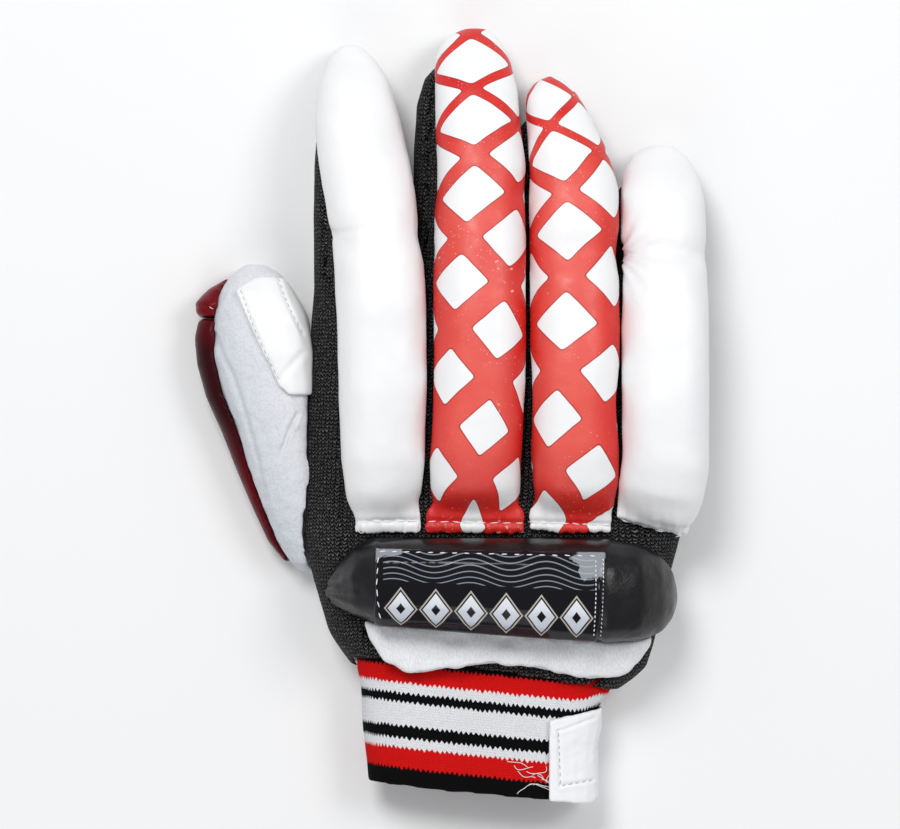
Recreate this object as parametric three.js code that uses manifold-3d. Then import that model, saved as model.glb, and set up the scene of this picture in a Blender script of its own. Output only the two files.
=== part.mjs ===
import * as THREE from 'three';
import { mergeVertices } from 'three/addons/utils/BufferGeometryUtils.js';
import Module from 'manifold-3d';

const wasm = await Module();
wasm.setup();

// A right-hand batting glove, lying palm down on z = 0 in millimetres.
// Fingers point along +Y, the thumb is on the -X side and the padded back faces +Z.

// Walls, clearances and how far an opening is cut past its mouth
const leatherWall = 2.0;
const thumbWall = 2.4;
const knitWall = 2.2;
const seamGap = 0.3;
const seatGap = 0.3;
const rollGap = 0.4;
const openEnd = 12;
const weldDistance = 1e-4;

// Hand pocket, from the wrist mouth to the crotch of the fingers
const handCentre = 17;
const handWidth = 141;
const handLength = 146;
const handHeight = 32;
const crotchLine = 51;
const webDepth = 5;
const palmEdgeShare = 0.3;
const backEdgeShare = 0.84;
const footSink = 1.6;
const mouthSlope = -0.09;
const mouthFade = 0.3;

// Finger stalls
const stallRoot = 24;
const indexStall = { rootX: -33.8, tipX: -34.6, length: 67, width: 32, height: 24.5 };
const middleStall = { rootX: 3.0, tipX: 2.4, length: 77, width: 33.6, height: 25 };
const ringStall = { rootX: 39.6, tipX: 36.8, length: 59, width: 32, height: 24.5 };
const littleStall = { rootX: 73, tipX: 72, length: 35, width: 30, height: 23 };

// Padded rolls sewn on the backs of the fingers and the hand
const rollRise = 20;
const rollBury = 7;
const hemLine = -42.5;
const hemDepth = 9;
const hemThickness = 2.8;
const slantFade = 0.33;
const indexRoll = { x: -24.6, hemX: -24, hemWidth: 24, slant: 0, length: 176.8, width: 33.4 };
const middleRoll = { x: 9.3, hemX: 9.2, hemWidth: 35, slant: 0, length: 182.7, width: 34.2 };
const ringRoll = { x: 43.8, hemX: 42.3, hemWidth: 29.4, slant: -0.03, length: 165.4, width: 31.6 };
const littleRoll = { x: 76.7, hemX: 74.6, hemWidth: 29.4, slant: -0.28, length: 140.1, width: 31 };

// Thumb: a stall with its inner face up, a smooth patch on it and a two-part guard along its outer side
const thumbTipLean = 17.5;
const thumbRootInset = 3.5;
const thumbTipY = 54.5;
const thumbLength = 111.5;
const thumbWidth = 36;
const thumbHeight = 26;
const guardThickness = 8.3;
const guardHeight = 19;
const guardWrap = 0.5;
const guardFoldY = 35;
const guardFoldGap = 0.5;
const patchThickness = 1.5;

// Roll across the wrist, its flange and its glossy plate
const wristRollLeft = -46.5;
const wristRollLength = 128;
const wristRollY = -61.2;
const wristRollWidth = 36;
const wristRollRise = 25;
const wristRollBury = 9;
const flangeDepth = 12;
const flangeThickness = 2.2;
const plateThickness = 1.5;
const plateLeft = -26.5;
const plateWidth = 80;
const plateFootLevel = 38;

// Pile skirt under the wrist roll
const skirtThickness = 5;
const skirtLeft = -31.5;
const skirtWidth = 104;
const skirtDrop = 26;
const skirtTop = -67;
const skirtFootLevel = 13;

// Knitted wristband and the strap tab on it
const bandCentre = 9.4;
const bandWidth = 82.4;
const bandLength = 41;
const bandHeight = 25;
const bandFloor = 3;
const bandInsert = 11;
const bandSlope = -0.095;
const bandSlopeFade = 0.5;
const tabThickness = 2.4;
const tabWidth = 18;
const tabLength = 30.5;
const tabCorner = 4;
const tabMargin = 1.3;

// How finely the sections are faceted
const handFacets = 24;
const stallFacets = 13;
const rollFacets = 15;
const thumbFacets = 15;
const padExponent = 2.3;
const shellExponent = 2.6;

// Tables of sections: every column but the first is a share of the size that it scales
function table(columns, rows) {
  const names = columns.split(' ');
  return rows.map((row) => Object.fromEntries(row.map((value, i) => [names[i], value])));
}

const HAND_SECTIONS = table('along shift width height', [
  [0.0, -0.037, 0.684, 0.92],
  [0.028, -0.027, 0.748, 0.93],
  [0.055, -0.02, 0.798, 0.94],
  [0.103, -0.021, 0.837, 0.96],
  [0.241, -0.021, 0.908, 1.0],
  [0.366, -0.017, 0.977, 1.0],
  [0.517, -0.004, 1.0, 0.98],
  [0.738, 0.008, 1.002, 0.93],
  [0.897, 0.015, 0.99, 0.86],
  [0.975, 0.014, 0.976, 0.79],
  [1.0, 0.014, 0.945, 0.72],
]);

const STALL_SECTIONS = table('along width height', [
  [0.0, 0.97, 0.96],
  [0.28, 1.0, 0.97],
  [0.5, 1.0, 0.88],
  [0.7, 0.97, 0.77],
  [0.85, 0.9, 0.68],
  [0.94, 0.74, 0.58],
  [0.985, 0.5, 0.44],
  [1.0, 0.26, 0.28],
]);

const ROLL_PROFILE = table('along seat rise', [
  [0.0, 0.93, 0.0],
  [0.05, 0.93, 0.34],
  [0.085, 0.93, 0.62],
  [0.15, 0.93, 0.88],
  [0.25, 0.92, 1.0],
  [0.43, 0.88, 1.02],
  [0.55, 0.78, 1.05],
  [0.65, 0.7, 1.05],
  [0.755, 0.6, 1.02],
  [0.835, 0.52, 0.94],
  [0.915, 0.43, 0.76],
  [0.965, 0.35, 0.56],
  [1.0, 0.27, 0.3],
]);

const INDEX_ROLL = table('along shift width dip', [
  [0.03, 0.01, 0.62, 1.0],
  [0.055, 0.005, 0.8, 1.0],
  [0.09, 0.0, 0.88, 1.0],
  [0.15, 0.0, 0.92, 1.0],
  [0.3, 0.0, 0.95, 1.0],
  [0.45, -0.02, 0.955, 1.0],
  [0.56, -0.06, 0.965, 0.98],
  [0.6, -0.09, 0.93, 0.84],
  [0.64, -0.12, 0.98, 0.98],
  [0.755, -0.205, 1.0, 1.0],
  [0.835, -0.27, 0.965, 1.0],
  [0.915, -0.31, 0.8, 1.0],
  [0.967, -0.35, 0.55, 1.0],
  [1.0, -0.36, 0.2, 1.0],
]);

const MIDDLE_ROLL = table('along shift width dip', [
  [0.03, 0.0, 0.86, 1.0],
  [0.055, -0.01, 0.97, 1.0],
  [0.09, -0.015, 0.975, 1.0],
  [0.16, -0.01, 0.97, 1.0],
  [0.3, 0.03, 0.96, 1.0],
  [0.42, 0.025, 0.945, 1.0],
  [0.55, 0.03, 0.945, 1.0],
  [0.63, 0.03, 0.95, 0.98],
  [0.67, 0.035, 0.92, 0.9],
  [0.72, 0.045, 0.95, 1.0],
  [0.8, 0.005, 0.915, 1.0],
  [0.87, -0.015, 0.91, 1.0],
  [0.935, -0.05, 0.83, 1.0],
  [0.98, -0.06, 0.6, 1.0],
  [1.0, 0.0, 0.28, 1.0],
]);

const RING_ROLL = table('along shift width dip', [
  [0.03, -0.05, 0.8, 1.0],
  [0.055, -0.02, 0.93, 1.0],
  [0.1, 0.0, 0.99, 1.0],
  [0.18, 0.0, 1.0, 1.0],
  [0.28, -0.015, 0.95, 0.98],
  [0.37, 0.0, 0.99, 1.0],
  [0.55, 0.0, 0.995, 1.0],
  [0.605, -0.015, 0.955, 0.86],
  [0.66, 0.0, 0.99, 0.98],
  [0.74, 0.0, 1.0, 1.0],
  [0.79, -0.02, 0.955, 1.0],
  [0.84, -0.075, 0.9, 1.0],
  [0.91, -0.17, 0.76, 1.0],
  [0.957, -0.24, 0.62, 1.0],
  [0.985, -0.25, 0.42, 1.0],
  [1.0, -0.2, 0.16, 1.0],
]);

const LITTLE_ROLL = table('along shift width dip', [
  [0.03, -0.1, 0.78, 1.0],
  [0.055, -0.085, 0.9, 1.0],
  [0.1, -0.05, 0.98, 1.0],
  [0.18, 0.0, 1.0, 1.0],
  [0.32, 0.0, 1.0, 1.0],
  [0.5, 0.0, 1.0, 1.0],
  [0.67, 0.0, 0.985, 0.98],
  [0.715, 0.0, 0.94, 0.84],
  [0.76, 0.0, 0.985, 0.98],
  [0.86, -0.01, 0.97, 1.0],
  [0.925, -0.03, 0.88, 1.0],
  [0.975, -0.04, 0.66, 1.0],
  [1.0, -0.02, 0.3, 1.0],
]);

const THUMB_SECTIONS = table('along shift width height', [
  [0.0, 0.0, 0.2, 0.45],
  [0.036, 0.0, 0.53, 0.68],
  [0.094, -0.06, 0.73, 0.84],
  [0.166, -0.06, 0.9, 0.93],
  [0.291, -0.095, 0.99, 1.0],
  [0.417, -0.11, 0.93, 1.0],
  [0.543, -0.085, 0.81, 0.98],
  [0.668, -0.07, 0.75, 0.96],
  [0.794, -0.06, 0.64, 0.9],
  [0.901, -0.04, 0.53, 0.8],
  [0.973, -0.01, 0.39, 0.66],
  [1.0, 0.0, 0.22, 0.4],
]);

const GUARD_SECTIONS = table('along bulge height', [
  [0.045, 0.1, 0.6],
  [0.085, 0.6, 0.85],
  [0.13, 0.95, 1.0],
  [0.165, 0.72, 0.94],
  [0.185, 0.68, 0.94],
  [0.235, 0.82, 1.0],
  [0.32, 0.8, 1.02],
  [0.43, 0.76, 1.0],
  [0.55, 0.66, 0.96],
  [0.66, 0.55, 0.92],
  [0.78, 0.44, 0.86],
  [0.9, 0.36, 0.76],
  [0.965, 0.2, 0.62],
]);

const WRIST_ROLL = table('along shift width rise seat', [
  [0.0, -0.07, 0.1, 0.12, 0.62],
  [0.035, -0.01, 0.4, 0.42, 0.68],
  [0.09, 0.05, 0.71, 0.7, 0.78],
  [0.17, 0.055, 0.86, 0.88, 0.88],
  [0.35, 0.045, 0.91, 1.0, 0.95],
  [0.6, 0.01, 0.98, 1.02, 0.98],
  [0.8, -0.04, 1.04, 0.97, 0.9],
  [0.89, -0.065, 0.97, 0.86, 0.82],
  [0.95, -0.08, 0.79, 0.64, 0.72],
  [0.985, -0.09, 0.5, 0.38, 0.66],
  [1.0, -0.09, 0.14, 0.12, 0.62],
]);

const BAND_SECTIONS = table('along shift width height', [
  [0.17, 0.008, 1.04, 1.0],
  [0.5, -0.004, 1.0, 1.02],
  [1.0, 0.01, 0.985, 1.0],
]);

// Corners of the thumb patch, as shares of the thumb's length and width
const PATCH_OUTLINE = table('along across', [
  [0.045, -0.02],
  [0.086, -0.24],
  [0.22, -0.14],
  [0.31, -0.05],
  [0.395, 0.02],
  [0.425, 0.12],
  [0.425, 0.5],
  [0.15, 0.5],
  [0.045, 0.25],
]);

// Corners of the glossy plate, as shares of its width and of the wrist roll's width
const PLATE_OUTLINE = table('across down', [
  [0.0, 0.117],
  [1.01, 0.156],
  [0.975, 1.03],
  [-0.01, 0.872],
]);

// Lower edge of the pile skirt, as shares of its width and drop
const SKIRT_EDGE = table('across down', [
  [0.0, 0.25],
  [0.02, 0.5],
  [0.07, 0.82],
  [0.18, 0.98],
  [0.31, 0.9],
  [0.44, 0.9],
  [0.63, 1.04],
  [0.77, 1.1],
  [0.88, 1.08],
  [0.95, 0.9],
  [0.99, 0.62],
  [1.0, 0.4],
]);

function sample(rows, column, along) {
  const next = Math.max(1, rows.findIndex((row) => row.along >= along));
  const from = rows[next - 1];
  const to = rows[next];
  const share = (along - from.along) / (to.along - from.along);
  return THREE.MathUtils.lerp(from[column], to[column], THREE.MathUtils.clamp(share, 0, 1));
}

// Half outline of a section: an arch over a flat foot, as [sideways, up] pairs from left to right
function arch(half, floor, height, grow, exponent, facets) {
  const middle = floor + height / 2;
  const reach = height / 2 + footSink + grow;
  const footShare = (height / 2 + grow) / reach;
  const footAngle = Math.asin(Math.pow(footShare, exponent / 2));
  const points = [];
  for (let i = 0; i < facets; i += 1) {
    const turn = Math.PI + footAngle - ((Math.PI + 2 * footAngle) * i) / (facets - 1);
    const side = Math.sign(Math.cos(turn)) * Math.pow(Math.abs(Math.cos(turn)), 2 / exponent);
    const lift = Math.sign(Math.sin(turn)) * Math.pow(Math.abs(Math.sin(turn)), 2 / exponent);
    const top = lift > 0 ? height / 2 + grow : reach;
    points.push([(half + grow) * side, middle + top * lift]);
  }
  return points;
}

function solidOf(geometry) {
  const bare = geometry.index ? geometry.clone() : geometry;
  bare.deleteAttribute('normal');
  bare.deleteAttribute('uv');
  const merged = mergeVertices(bare, weldDistance);
  const mesh = new wasm.Mesh({
    numProp: 3,
    vertProperties: new Float32Array(merged.attributes.position.array),
    triVerts: new Uint32Array(merged.index.array),
  });
  return new wasm.Manifold(mesh);
}

// Closed skin over rings of points, capped at both ends
function loft(rings) {
  const count = rings[0].length;
  const points = rings.flat();
  const faces = [];
  for (let r = 0; r < rings.length - 1; r += 1) {
    for (let i = 0; i < count; i += 1) {
      const a = r * count + i;
      const b = r * count + ((i + 1) % count);
      faces.push(a, b, b + count, a, b + count, a + count);
    }
  }
  for (const last of [false, true]) {
    const start = last ? (rings.length - 1) * count : 0;
    const ring = rings[last ? rings.length - 1 : 0];
    const centre = ring.reduce((sum, p) => sum.add(p), new THREE.Vector3()).divideScalar(count);
    points.push(centre);
    for (let i = 0; i < count; i += 1) {
      const a = start + i;
      const b = start + ((i + 1) % count);
      faces.push(...(last ? [points.length - 1, a, b] : [points.length - 1, b, a]));
    }
  }
  const geometry = new THREE.BufferGeometry().setFromPoints(points);
  geometry.setIndex(faces);
  const solid = solidOf(geometry);
  if (solid.volume() > 0) {
    return solid;
  }
  geometry.setIndex(faces.reverse());
  return solidOf(geometry);
}

// Upright block over an outline of [x, y] pairs
function block(outline, bottom, top) {
  const shape = new THREE.Shape(outline.map(([x, y]) => new THREE.Vector2(x, y)));
  const geometry = new THREE.ExtrudeGeometry(shape, { depth: top - bottom, bevelEnabled: false });
  geometry.translate(0, 0, bottom);
  return solidOf(geometry);
}

// Block along X over a side outline of [y, z] pairs
function sideBlock(outline, left, right) {
  const shape = new THREE.Shape(outline.map(([y, z]) => new THREE.Vector2(y, z)));
  const geometry = new THREE.ExtrudeGeometry(shape, { depth: right - left, bevelEnabled: false });
  geometry.rotateX(Math.PI / 2);
  geometry.rotateZ(Math.PI / 2);
  geometry.translate(left, 0, 0);
  return solidOf(geometry);
}

function moved(ring, distance) {
  return ring.map((point) => new THREE.Vector3(point.x, point.y + distance, point.z));
}

function joined(solids) {
  return solids.reduce((sum, solid) => sum.add(solid));
}

const STALLS = [indexStall, middleStall, ringStall, littleStall];
const mouthLine = crotchLine - handLength;
const aboveAll = 3 * handHeight;
const belowAll = -handHeight;
const leftOfAll = handCentre - handWidth;
const rightOfAll = handCentre + handWidth;
const handEdge = handCentre - handWidth / 2;

function handRings(grow, extend) {
  const last = HAND_SECTIONS.length - 1;
  const rings = HAND_SECTIONS.map((row, i) => {
    const y = mouthLine + handLength * row.along + (i === last ? grow : 0);
    const x = handCentre + handWidth * row.shift;
    const half = handWidth * row.width / 2;
    const outline = arch(half, 0, handHeight * row.height, grow, shellExponent, handFacets);
    const skew = mouthSlope * Math.max(0, 1 - row.along / mouthFade);
    return outline.map(([side, up]) => new THREE.Vector3(x + side, y + skew * side, up));
  });
  return extend > 0 ? [moved(rings[0], -extend), ...rings] : rings;
}

function stallRings(stall, grow) {
  const rootY = crotchLine - stallRoot;
  const reach = stallRoot + stall.length;
  return STALL_SECTIONS.map((row, i) => {
    const end = i === STALL_SECTIONS.length - 1 ? grow : 0;
    const y = rootY + reach * row.along + end;
    const x = THREE.MathUtils.lerp(stall.rootX, stall.tipX, row.along);
    const half = stall.width * row.width / 2;
    const outline = arch(half, 0, stall.height * row.height, grow, shellExponent, stallFacets);
    return outline.map(([side, up]) => new THREE.Vector3(x + side, y, up));
  });
}

function gloveForm(grow, extend = 0) {
  return joined([loft(handRings(grow, extend)), ...STALLS.map((stall) => loft(stallRings(stall, grow)))]);
}

function thumbAxis(along) {
  return THREE.MathUtils.lerp(handEdge - thumbTipLean, handEdge + thumbRootInset, along);
}

function thumbForm(grow) {
  const last = THUMB_SECTIONS.length - 1;
  return loft(THUMB_SECTIONS.map((row, i) => {
    const end = (i === 0 ? grow : 0) - (i === last ? grow : 0);
    const y = thumbTipY - thumbLength * row.along + end;
    const x = thumbAxis(row.along) + thumbWidth * row.shift;
    const half = thumbWidth * row.width / 2;
    const outline = arch(half, 0, thumbHeight * row.height, grow, shellExponent, thumbFacets);
    return outline.map(([side, up]) => new THREE.Vector3(x + side, y, up));
  }));
}

function guardForm() {
  return loft(GUARD_SECTIONS.map((row) => {
    const width = thumbWidth * sample(THUMB_SECTIONS, 'width', row.along);
    const centre = thumbAxis(row.along) + thumbWidth * sample(THUMB_SECTIONS, 'shift', row.along);
    const edge = centre - width / 2 - guardThickness * row.bulge;
    const half = (width * guardWrap + guardThickness * row.bulge) / 2;
    const outline = arch(half, 0, guardHeight * row.height, 0, padExponent, thumbFacets);
    const y = thumbTipY - thumbLength * row.along;
    return outline.map(([side, up]) => new THREE.Vector3(edge + half + side, y, up));
  }));
}

function rollForm(roll, rows) {
  return loft(rows.map((row) => {
    const y = hemLine + roll.length * row.along;
    const x = roll.x + roll.width * row.shift;
    const half = (roll.width * row.width - rollGap) / 2;
    const seat = handHeight * sample(ROLL_PROFILE, 'seat', row.along);
    const rise = rollRise * sample(ROLL_PROFILE, 'rise', row.along) * row.dip;
    const outline = arch(half, seat - rollBury, rollBury + rise, 0, padExponent, rollFacets);
    const skew = roll.slant * Math.max(0, 1 - row.along / slantFade);
    return outline.map(([side, up]) => new THREE.Vector3(x + side, y + skew * side, up));
  }));
}

// Flat hem that a roll's cover is sewn down with
function hemOutline(roll) {
  const half = roll.hemWidth / 2;
  const drop = roll.slant * half;
  return [
    [roll.hemX - half, hemLine - drop],
    [roll.hemX + half, hemLine + drop],
    [roll.hemX + half, hemLine + drop + hemDepth],
    [roll.hemX - half, hemLine - drop + hemDepth],
  ];
}

function wristRollForm(grow) {
  const last = WRIST_ROLL.length - 1;
  return loft(WRIST_ROLL.map((row, i) => {
    const end = (i === last ? grow : 0) - (i === 0 ? grow : 0);
    const x = wristRollLeft + wristRollLength * row.along + end;
    const y = wristRollY + wristRollWidth * row.shift;
    const half = wristRollWidth * row.width / 2;
    const bury = wristRollBury * Math.min(1, row.width);
    const floor = handHeight * row.seat - bury;
    const outline = arch(half, floor, bury + wristRollRise * row.rise, grow, padExponent, rollFacets);
    return outline.map(([side, up]) => new THREE.Vector3(x, y + side, up));
  }));
}

// The band starts inside the wrist mouth, fits its wall there and narrows to the wrist behind it
function bandForm(grow, extend) {
  const mouth = HAND_SECTIONS[0];
  const fit = grow - leatherWall - seatGap;
  const mouthHalf = handWidth * mouth.width / 2;
  const mouthOutline = arch(mouthHalf, 0, handHeight * mouth.height, fit, shellExponent, handFacets);
  const mouthX = handCentre + handWidth * mouth.shift;
  const mouthRing = mouthOutline.map(([side, up]) => (
    new THREE.Vector3(mouthX + side, mouthLine + mouthSlope * side, up)
  ));
  const rings = BAND_SECTIONS.map((row) => {
    const y = mouthLine - bandLength * row.along;
    const slope = THREE.MathUtils.lerp(mouthSlope, bandSlope, Math.min(1, row.along / bandSlopeFade));
    const x = bandCentre + bandWidth * row.shift;
    const half = bandWidth * row.width / 2;
    const outline = arch(half, bandFloor, bandHeight * row.height, grow, shellExponent, handFacets);
    return outline.map(([side, up]) => new THREE.Vector3(x + side, y + slope * side, up));
  });
  const whole = [moved(mouthRing, bandInsert), mouthRing, ...rings];
  if (extend > 0) {
    return loft([moved(whole[0], extend), ...whole, moved(whole[whole.length - 1], -extend)]);
  }
  return loft(whole);
}

// Height of the glove's form along Y, over the hand or over one stall
function handLevels(share) {
  return HAND_SECTIONS.map((row) => [mouthLine + handLength * row.along, handHeight * row.height * share]);
}

function stallLevels(stall, share) {
  const rootY = crotchLine - stallRoot;
  const reach = stallRoot + stall.length;
  const rows = STALL_SECTIONS.filter((row) => rootY + reach * row.along > crotchLine);
  return rows.map((row) => [rootY + reach * row.along, stall.height * row.height * share]);
}

// Everything below a share of the form's height, with one column for each finger
function below(share, drop) {
  const columns = STALLS.map((stall, i) => {
    const next = STALLS[i + 1];
    const previous = STALLS[i - 1];
    const right = next ? (stall.rootX + stall.width / 2 + next.rootX - next.width / 2) / 2 : rightOfAll;
    const left = previous
      ? (previous.rootX + previous.width / 2 + stall.rootX - stall.width / 2) / 2
      : leftOfAll;
    const line = [...handLevels(share), ...stallLevels(stall, share)].map(([y, z]) => [y, z - drop]);
    const startY = line[0][0] - openEnd;
    const endY = line[line.length - 1][0] + openEnd;
    const startZ = line[0][1];
    const endZ = line[line.length - 1][1];
    const foot = [[startY, belowAll], [endY, belowAll], [endY, endZ]];
    const outline = [...foot, ...line.reverse(), [startY, startZ]];
    return sideBlock(outline, left, right + seamGap);
  });
  return joined(columns);
}

// Tall block between two lines along Y, in front of or behind the crotch of the fingers
function slice(left, right, back, front) {
  return block([[left, back], [right, back], [right, front], [left, front]], belowAll, aboveAll);
}

// Sewn shell of the hand and fingers, opened at the wrist and into the thumb
const gloveOuter = gloveForm(0);
const gloveSeat = gloveForm(seatGap);
const thumbOuter = thumbForm(0);
const thumbInner = thumbForm(-thumbWall);
const shell = gloveOuter.subtract(gloveForm(-leatherWall, openEnd)).subtract(thumbInner);

const palm = shell.intersect(below(palmEdgeShare, 0));
const sides = shell.intersect(below(backEdgeShare, 0)).subtract(below(palmEdgeShare, -seamGap));
const handBack = shell.subtract(below(backEdgeShare, -seamGap));

const tipLines = STALLS.map((stall) => stall.tipX);
const frontOfAll = crotchLine + handLength;
const backOfAll = mouthLine - handLength;
const webLine = crotchLine - webDepth;
const meshThumb = sides.intersect(joined([
  slice(leftOfAll, handCentre, backOfAll, webLine),
  slice(leftOfAll, tipLines[0] - seamGap / 2, backOfAll, frontOfAll),
]));
const meshLittle = sides.intersect(joined([
  slice(handCentre, rightOfAll, backOfAll, webLine),
  slice(tipLines[3] + seamGap / 2, rightOfAll, backOfAll, frontOfAll),
]));
const fourchettes = [0, 1, 2].map((i) => sides.intersect(
  slice(tipLines[i] + seamGap / 2, tipLines[i + 1] - seamGap / 2, webLine + seamGap, frontOfAll),
));

const thumbStall = thumbOuter.subtract(thumbInner).subtract(gloveSeat);
const thumbSeat = thumbForm(seatGap);
const guard = guardForm().subtract(thumbSeat).subtract(gloveSeat);
const guardTip = guard.intersect(block([
  [leftOfAll, guardFoldY + guardFoldGap / 2],
  [rightOfAll, guardFoldY + guardFoldGap / 2],
  [rightOfAll, thumbTipY + thumbLength],
  [leftOfAll, thumbTipY + thumbLength],
], belowAll, aboveAll));
const guardBase = guard.intersect(block([
  [leftOfAll, thumbTipY - 2 * thumbLength],
  [rightOfAll, thumbTipY - 2 * thumbLength],
  [rightOfAll, guardFoldY - guardFoldGap / 2],
  [leftOfAll, guardFoldY - guardFoldGap / 2],
], belowAll, aboveAll));
const patchOutline = PATCH_OUTLINE.map((row) => [
  thumbAxis(row.along) + thumbWidth * row.across,
  thumbTipY - thumbLength * row.along,
]);
const thumbPatch = thumbForm(seatGap + patchThickness)
  .subtract(thumbSeat)
  .intersect(block(patchOutline, thumbHeight / 2, aboveAll))
  .subtract(gloveSeat);

const hemLayer = gloveForm(seatGap + hemThickness);
const ROLLS = [
  [indexRoll, INDEX_ROLL],
  [middleRoll, MIDDLE_ROLL],
  [ringRoll, RING_ROLL],
  [littleRoll, LITTLE_ROLL],
];
const rolls = ROLLS.map(([roll, rows]) => {
  const hem = hemLayer.intersect(block(hemOutline(roll), handHeight / 2, aboveAll));
  return rollForm(roll, rows).add(hem).subtract(gloveSeat);
});

const flangeTop = Math.min(...hemOutline(ringRoll).map(([, y]) => y)) - seatGap;
const flangeRight = ringRoll.hemX + ringRoll.hemWidth / 2;
const flangeOutline = [
  [skirtLeft, flangeTop],
  [flangeRight, flangeTop],
  [flangeRight, flangeTop - flangeDepth],
  [skirtLeft, flangeTop - flangeDepth],
];
const flange = gloveForm(seatGap + flangeThickness)
  .intersect(block(flangeOutline, handHeight / 2, aboveAll));
const wristRoll = wristRollForm(0).add(flange).subtract(gloveSeat);
const plateTop = wristRollY + wristRollWidth / 2;
const plateOutline = PLATE_OUTLINE.map((row) => [
  plateLeft + plateWidth * row.across,
  plateTop - wristRollWidth * row.down,
]);
const wristPlate = wristRollForm(seatGap + plateThickness)
  .subtract(wristRollForm(seatGap))
  .intersect(block(plateOutline, plateFootLevel, aboveAll))
  .subtract(flange);

const skirtOutline = [
  ...SKIRT_EDGE.map((row) => [skirtLeft + skirtWidth * row.across, skirtTop - skirtDrop * row.down]),
  [skirtLeft + skirtWidth, skirtTop],
  [skirtLeft, skirtTop],
];
const skirt = gloveForm(seatGap + skirtThickness)
  .intersect(block(skirtOutline, skirtFootLevel, aboveAll))
  .subtract(gloveSeat)
  .subtract(wristRollForm(seatGap));

const band = bandForm(0, 0).subtract(bandForm(-knitWall, openEnd));
const bandFoot = mouthLine - bandLength;
const bandRight = bandCentre + bandWidth / 2;
const tabRight = bandRight + tabThickness + tabMargin;
const tabLeft = bandRight + tabThickness - tabWidth;
const tabFoot = bandFoot + bandSlope * bandWidth / 2;
const tabOutline = [
  [tabLeft, tabFoot],
  [tabRight - tabCorner, tabFoot],
  [tabRight, tabFoot + tabCorner],
  [tabRight, tabFoot + tabLength + tabCorner],
  [tabLeft, tabFoot + tabLength],
];
const tab = bandForm(seatGap + tabThickness, 0)
  .subtract(bandForm(seatGap, openEnd))
  .intersect(block(tabOutline, belowAll, aboveAll));

const WHITE = { color: 0xf2f1ee, roughness: 0.5, metalness: 0 };
const PRINTED = { color: 0xe0463c, roughness: 0.5, metalness: 0 };
const PILE = { color: 0xe4e7ee, roughness: 0.95, metalness: 0 };
const BLACK_MESH = { color: 0x1e1e1e, roughness: 0.9, metalness: 0 };
const BLACK = { color: 0x28282a, roughness: 0.6, metalness: 0 };
const GLOSS = { color: 0x0c0c0e, roughness: 0.2, metalness: 0 };
const RED = { color: 0xa4081a, roughness: 0.5, metalness: 0 };
const KNIT = { color: 0xd8201c, roughness: 0.95, metalness: 0 };
const PALM = { color: 0xe9e7e2, roughness: 0.7, metalness: 0 };

const glove = new THREE.Group();

function addPiece(name, solid, finish) {
  const mesh = solid.getMesh();
  const geometry = new THREE.BufferGeometry();
  geometry.setAttribute('position', new THREE.BufferAttribute(new Float32Array(mesh.vertProperties), 3));
  geometry.setIndex(new THREE.BufferAttribute(new Uint32Array(mesh.triVerts), 1));
  geometry.computeVertexNormals();
  const piece = new THREE.Mesh(geometry, new THREE.MeshStandardMaterial(finish));
  piece.name = name;
  glove.add(piece);
}

addPiece('palm', palm, PALM);
addPiece('hand_back', handBack, BLACK);
addPiece('side_mesh_thumb', meshThumb, BLACK_MESH);
addPiece('fourchette_index_middle', fourchettes[0], BLACK_MESH);
addPiece('fourchette_middle_ring', fourchettes[1], BLACK_MESH);
addPiece('fourchette_ring_little', fourchettes[2], BLACK_MESH);
addPiece('side_mesh_little', meshLittle, BLACK_MESH);
addPiece('thumb_stall', thumbStall, PILE);
addPiece('thumb_patch', thumbPatch, WHITE);
addPiece('thumb_guard_tip', guardTip, RED);
addPiece('thumb_guard_base', guardBase, RED);
addPiece('roll_index', rolls[0], WHITE);
addPiece('roll_middle', rolls[1], PRINTED);
addPiece('roll_ring', rolls[2], PRINTED);
addPiece('roll_little', rolls[3], WHITE);
addPiece('wrist_roll', wristRoll, BLACK);
addPiece('wrist_plate', wristPlate, GLOSS);
addPiece('back_skirt', skirt, PILE);
addPiece('wristband', band, KNIT);
addPiece('strap_tab', tab, WHITE);

// The origin is under the middle of the glove, on the surface that it lies on
const bounds = new THREE.Box3().setFromObject(glove);
const middle = bounds.getCenter(new THREE.Vector3());
glove.position.set(-middle.x, -middle.y, -bounds.min.z);

export default glove;
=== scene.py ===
import math
import random

import bpy
import numpy as np
from mathutils import Matrix, Vector
from mathutils.bvhtree import BVHTree


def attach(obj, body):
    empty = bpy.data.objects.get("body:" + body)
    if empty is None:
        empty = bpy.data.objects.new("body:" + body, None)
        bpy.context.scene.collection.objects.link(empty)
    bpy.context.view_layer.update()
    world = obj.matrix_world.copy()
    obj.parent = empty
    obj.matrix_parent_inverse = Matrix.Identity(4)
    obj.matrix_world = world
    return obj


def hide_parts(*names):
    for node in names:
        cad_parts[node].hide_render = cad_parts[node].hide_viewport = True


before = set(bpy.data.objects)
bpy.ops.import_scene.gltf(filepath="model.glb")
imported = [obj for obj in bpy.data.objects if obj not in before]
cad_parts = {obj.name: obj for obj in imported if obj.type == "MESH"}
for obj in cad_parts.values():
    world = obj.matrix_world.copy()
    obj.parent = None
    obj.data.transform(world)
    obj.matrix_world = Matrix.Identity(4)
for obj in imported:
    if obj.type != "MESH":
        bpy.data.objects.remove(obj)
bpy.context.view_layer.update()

# A right-hand cricket batting glove lying palm down, fingers along +Y and thumb at -X.
# Lengths below are in millimetres unless they say otherwise.
MM = 0.001
scene = bpy.context.scene
random.seed(7)

# Camera: straight above the middle of the glove, at the photograph's scale
VIEW_WIDTH = 321.8
CAMERA_HEIGHT = 1600
FOCUS_LEVEL = 32
SENSOR = 36


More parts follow.
